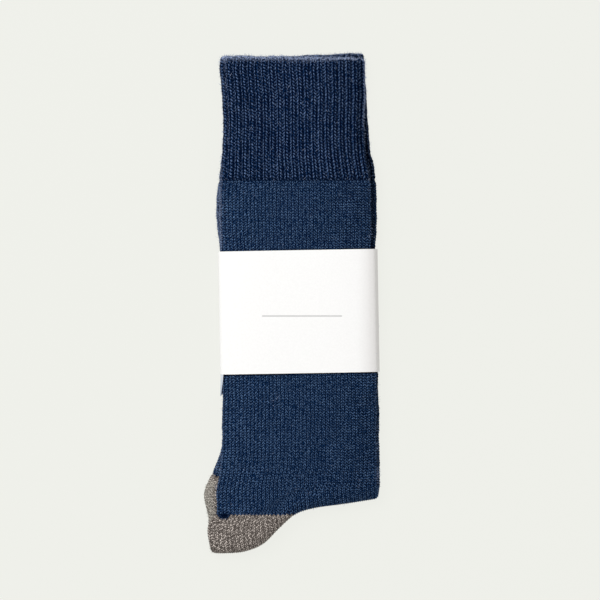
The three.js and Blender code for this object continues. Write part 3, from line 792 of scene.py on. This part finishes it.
held = []
for sock in (SOCK_A, SOCK_B):
    straight = ways(sock)[-1]
    for up_leg in (SQUEEZED[0], 2.0, SQUEEZED[1]):
        for way in (sock["mouth"] - up_leg, straight + up_leg - LEG_TURNS):
            points, _ = lay(sock, [way], np.arange(0, NEEDLES, 0.5), np.zeros((1, 1)))
            held.append(points[0, :, :3])
held = np.concatenate(held)
across_band = (held[:, 0] - BAND_CENTRE[0]) * math.cos(BAND_TURN)
across_band += (held[:, 1] - BAND_CENTRE[1]) * math.sin(BAND_TURN)
loop = loop_round(np.stack([across_band, held[:, 2]], -1), BAND_MARGIN)
loop = np.concatenate([loop, loop[:1]])
reach = np.concatenate([[0], np.cumsum(np.linalg.norm(np.diff(loop, axis=0), axis=1))])
round_it = reach[-1]
slope = np.gradient(loop, axis=0)
normal = unit(np.stack([slope[:, 1], -slope[:, 0]], -1))
on_left = (loop[:, 1] > 9) & (loop[:, 0] > loop[:, 0].min() + 0.9)
lap_start = reach[np.nonzero(on_left)[0][-1]]

bpy.ops.object.select_all(action="DESELECT")
bpy.ops.mesh.primitive_grid_add(x_subdivisions=320, y_subdivisions=24, size=1)
band = bpy.context.object
band.name = band.data.name = "paper_band_strip"
for v in band.data.vertices:
    along_strip, across_strip = v.co.x + 0.5, v.co.y
    # The first end's low corner is snipped, and the lap lies on the strip's start.
    low_corner = share_between(0.35, 0.5, -across_strip)
    way = max(along_strip * (round_it + LAP), 1.6 * low_corner)
    out = LAP_LIFT * share_between(60, 120, way) - 0.1
    at = (lap_start + way) % round_it
    x, z = (np.interp(at, reach, loop[:, k]) + out * np.interp(at, reach, normal[:, k]) for k in (0, 1))
    x -= 0.5 * low_corner * max(1 - way / 30, 0)
    y = across_strip * BAND_TALL - FIRST_END_DROP * (1 - share_between(3, 103, way))
    v.co = (
        (BAND_CENTRE[0] + x * math.cos(BAND_TURN) - y * math.sin(BAND_TURN)) * MM,
        (BAND_CENTRE[1] + x * math.sin(BAND_TURN) + y * math.cos(BAND_TURN)) * MM,
        z * MM,
    )
band.data.update()
thick = band.modifiers.new("paper", "SOLIDIFY")
thick.thickness = PAPER * MM
thick.offset = 0
bpy.context.view_layer.objects.active = band
bpy.ops.object.modifier_apply(modifier=thick.name)
bpy.ops.object.select_all(action="DESELECT")
band.select_set(True)
bpy.ops.object.shade_smooth_by_angle(angle=math.radians(40))

paper, sheet = bare_material("smooth_paper")
in_place = sheet.node("ShaderNodeTexCoord", output=3)
sideways, lengthways, upwards = in_place.parts()
pulp = in_place.noise(900.0, 4.0, 0.7)
wave = in_place.noise(22.0, 1.0)
white = pulp.ramp(0.25, 0.75).blend((0.90, 0.895, 0.885, 1), (0.945, 0.94, 0.93, 1))
# Painted shade: the tucked end is painted bluish as in shade, and the right side is painted darker where it
# turns away from the light.
below = 1 - lengthways.ramp(-0.0428, -0.0425)
beyond = 1 - sideways.ramp(-0.040, -0.038)
tucked_end_shade = below * beyond * (0.40 - 40 * (lengthways + 0.0425)) * upwards.ramp(0.004, 0.012)
shaded = tucked_end_shade.blend(white, (0.34, 0.42, 0.56, 1))
shaded = (0.36 * sideways.ramp(0.038, 0.0525)).blend(shaded, (0.50, 0.46, 0.44, 1))
# A thin grey printed rule across the front.
rule_wide = 1 - (sideways - 0.0061).size().ramp(0.0236, 0.0243)
rule = (1 - (lengthways + 0.00756).size().ramp(0.00018, 0.00042)) * rule_wide * upwards.over(0.012)
printed = (rule * 0.75).blend(shaded, (0.30, 0.30, 0.30, 1))
feel = sheet.node("ShaderNodeBump", None, {"Strength": 0.18, "Distance": 0.0002, "Height": pulp + wave})
face = sheet.node("ShaderNodeBsdfPrincipled", None, {
    "Base Color": printed, "Roughness": 0.62 + 0.08 * pulp, "Specular IOR Level": 0.35, "Normal": feel,
})
sheet.node("ShaderNodeOutputMaterial", None, {"Surface": face})
band.data.materials.append(paper)
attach(band, "root")
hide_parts("paper_band")


# The floor, a plain pale sheet that the pair lies on. It glows a little by itself, and even light comes from
# all round, so that it stays pale up to the pair's edge.
bpy.ops.object.select_all(action="DESELECT")
bpy.ops.mesh.primitive_plane_add(size=6, location=(0, 0, -0.0004))
floor = bpy.context.object
floor.name = "floor"
floor_paint, ground = bare_material("pale_floor")
matt = ground.node("ShaderNodeBsdfDiffuse", None, {"Color": (0.86, 0.87, 0.82, 1)})
glow = ground.node("ShaderNodeEmission", None, {"Color": (0.863, 0.871, 0.823, 1), "Strength": 0.998})
mixed = ground.node("ShaderNodeMixShader", None, {0: 0.95, 1: matt, 2: glow})
ground.node("ShaderNodeOutputMaterial", None, {"Surface": mixed})
floor.data.materials.append(floor_paint)

world = bpy.data.worlds.new("room")
world.use_nodes = True
world.node_tree.nodes["Background"].inputs[0].default_value = (0.868, 0.866, 0.862, 1)
world.node_tree.nodes["Background"].inputs[1].default_value = 0.61
bpy.context.scene.world = world
bpy.context.scene.view_settings.view_transform = "Standard"

# A large soft window of light above and to the left, and a weak one on the right.
for name, spot, power, width in (
    ("window", (-0.55, 0.45, 1.35), 14.1, 0.8),
    ("bounce", (0.9, -0.2, 0.9), 1.0, 1.0),
):
    panel = bpy.data.lights.new(name, "AREA")
    panel.energy, panel.size = power, width
    lamp = bpy.data.objects.new(name, panel)
    bpy.context.collection.objects.link(lamp)
    lamp.location = spot
    x, y, z = spot
    lamp.rotation_euler = (math.atan2(math.hypot(x, y), z), 0, math.atan2(x, -y))

# The camera looks straight down, as in the photograph: from 2.4 m above the top of the pair it takes in
# 0.36 m, which is 0.6 mm to a pixel.
SENSOR = 36
ABOVE_TOP, IN_VIEW = 2.4, 0.36
lens = bpy.data.cameras.new("camera")
camera = bpy.data.objects.new("camera", lens)
bpy.context.collection.objects.link(camera)
camera.location = (0.00486, 0.00204, 2.416)
lens.sensor_width = SENSOR
lens.lens = SENSOR * ABOVE_TOP / IN_VIEW
lens.clip_end = 20
bpy.context.scene.camera = camera
